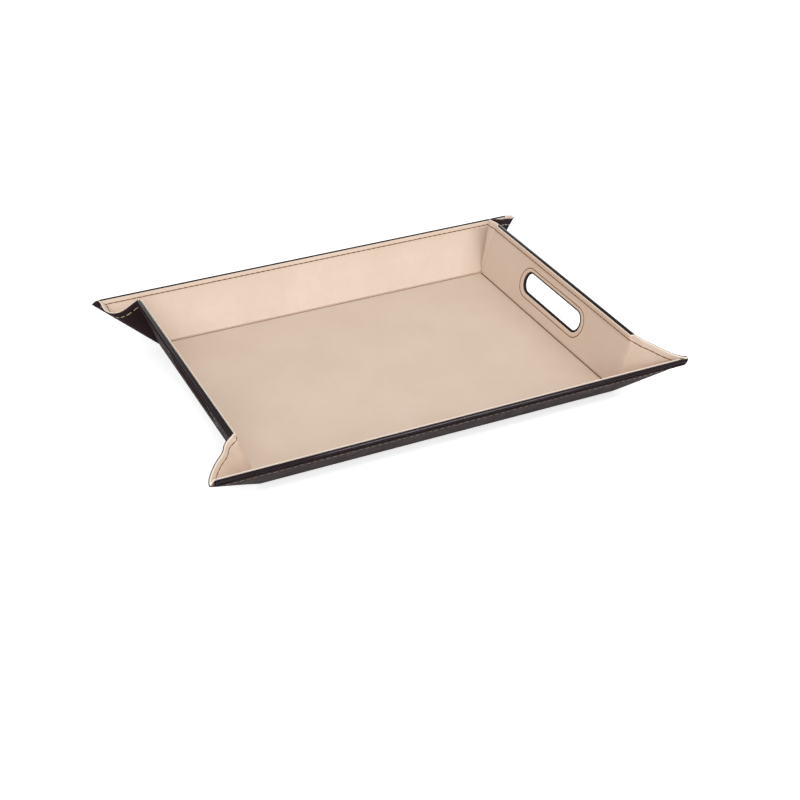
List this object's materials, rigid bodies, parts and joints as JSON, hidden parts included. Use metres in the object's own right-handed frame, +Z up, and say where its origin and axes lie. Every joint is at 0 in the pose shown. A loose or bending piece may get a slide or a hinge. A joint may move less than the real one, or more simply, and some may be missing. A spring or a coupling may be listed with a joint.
{
  "type": "reversible serving tray",
  "caption": "Two-tone leather serving tray: sides fold up either way about the base, with soft corner gussets, piped rims and a hand slot in each short side.",
  "frame": {"origin": "centre of the underside of the base, on the surface the tray stands on", "axes": "+X along the long sides, +Y towards the back long side, +Z up out of the tray"},
  "size_m": [0.55, 0.4022, 0.0659],
  "materials": {
    "cream_leather": "smooth satin",
    "chocolate_leather": "smooth satin",
    "greyboard": "raw",
    "piping_core": "matte"
  },
  "bodies": {
    "base": {"base_board": "greyboard", "base_cream_leather": "cream_leather", "base_chocolate_leather": "chocolate_leather"},
    "front_side": {"front_side_board": "greyboard", "front_side_cream_leather": "cream_leather", "front_side_chocolate_leather": "chocolate_leather", "front_rim_piping": "chocolate_leather", "front_rim_core": "piping_core"},
    "back_side": {"back_side_board": "greyboard", "back_side_cream_leather": "cream_leather", "back_side_chocolate_leather": "chocolate_leather", "back_rim_piping": "chocolate_leather", "back_rim_core": "piping_core"},
    "left_side": {"left_side_board": "greyboard", "left_side_cream_leather": "cream_leather", "left_side_chocolate_leather": "chocolate_leather", "left_rim_piping": "chocolate_leather", "left_rim_core": "piping_core"},
    "right_side": {"right_side_board": "greyboard", "right_side_cream_leather": "cream_leather", "right_side_chocolate_leather": "chocolate_leather", "right_rim_piping": "chocolate_leather", "right_rim_core": "piping_core"},
    "front_left_gusset": {"front_left_gusset_cream_leather": "cream_leather", "front_left_gusset_chocolate_leather": "chocolate_leather"},
    "front_right_gusset": {"front_right_gusset_cream_leather": "cream_leather", "front_right_gusset_chocolate_leather": "chocolate_leather"},
    "back_left_gusset": {"back_left_gusset_cream_leather": "cream_leather", "back_left_gusset_chocolate_leather": "chocolate_leather"},
    "back_right_gusset": {"back_right_gusset_cream_leather": "cream_leather", "back_right_gusset_chocolate_leather": "chocolate_leather"}
  },
  "joints": [
    {"name": "front_side_fold", "type": "hinge", "parent": "base", "child": "front_side", "pos_m": [0, -0.153, 0.0024], "axis": [-1, 0, 0], "range_deg": [-90, 0]},
    {"name": "back_side_fold", "type": "hinge", "parent": "base", "child": "back_side", "pos_m": [0, 0.153, 0.0024], "axis": [1, 0, 0], "range_deg": [-90, 0]},
    {"name": "left_side_fold", "type": "hinge", "parent": "base", "child": "left_side", "pos_m": [-0.208, 0, 0.0024], "axis": [0, 1, 0], "range_deg": [-141.06, 0]},
    {"name": "right_side_fold", "type": "hinge", "parent": "base", "child": "right_side", "pos_m": [0.208, 0, 0.0024], "axis": [0, -1, 0], "range_deg": [-141.06, 0]},
    {"name": "front_left_gusset_fold", "type": "hinge", "parent": "front_side", "child": "front_left_gusset", "pos_m": [-0.208, -0.153, 0.0024], "axis": [0.7071, 0.5, -0.5], "range_deg": [-218.94, 0]},
    {"name": "front_right_gusset_fold", "type": "hinge", "parent": "front_side", "child": "front_right_gusset", "pos_m": [0.208, -0.153, 0.0024], "axis": [0.7071, -0.5, 0.5], "range_deg": [-218.94, 0]},
    {"name": "back_left_gusset_fold", "type": "hinge", "parent": "back_side", "child": "back_left_gusset", "pos_m": [-0.208, 0.153, 0.0024], "axis": [-0.7071, 0.5, 0.5], "range_deg": [-218.94, 0]},
    {"name": "back_right_gusset_fold", "type": "hinge", "parent": "back_side", "child": "back_right_gusset", "pos_m": [0.208, 0.153, 0.0024], "axis": [-0.7071, -0.5, -0.5], "range_deg": [-218.94, 0]}
  ],
  "couplings": [
    {"joint": "back_side_fold", "follows": "front_side_fold", "ratio": 1},
    {"joint": "left_side_fold", "follows": "front_side_fold", "ratio": 1.5673},
    {"joint": "right_side_fold", "follows": "front_side_fold", "ratio": 1.5673},
    {"joint": "front_left_gusset_fold", "follows": "front_side_fold", "ratio": 2.4327},
    {"joint": "front_right_gusset_fold", "follows": "front_side_fold", "ratio": 2.4327},
    {"joint": "back_left_gusset_fold", "follows": "front_side_fold", "ratio": 2.4327},
    {"joint": "back_right_gusset_fold", "follows": "front_side_fold", "ratio": 2.4327}
  ]
}
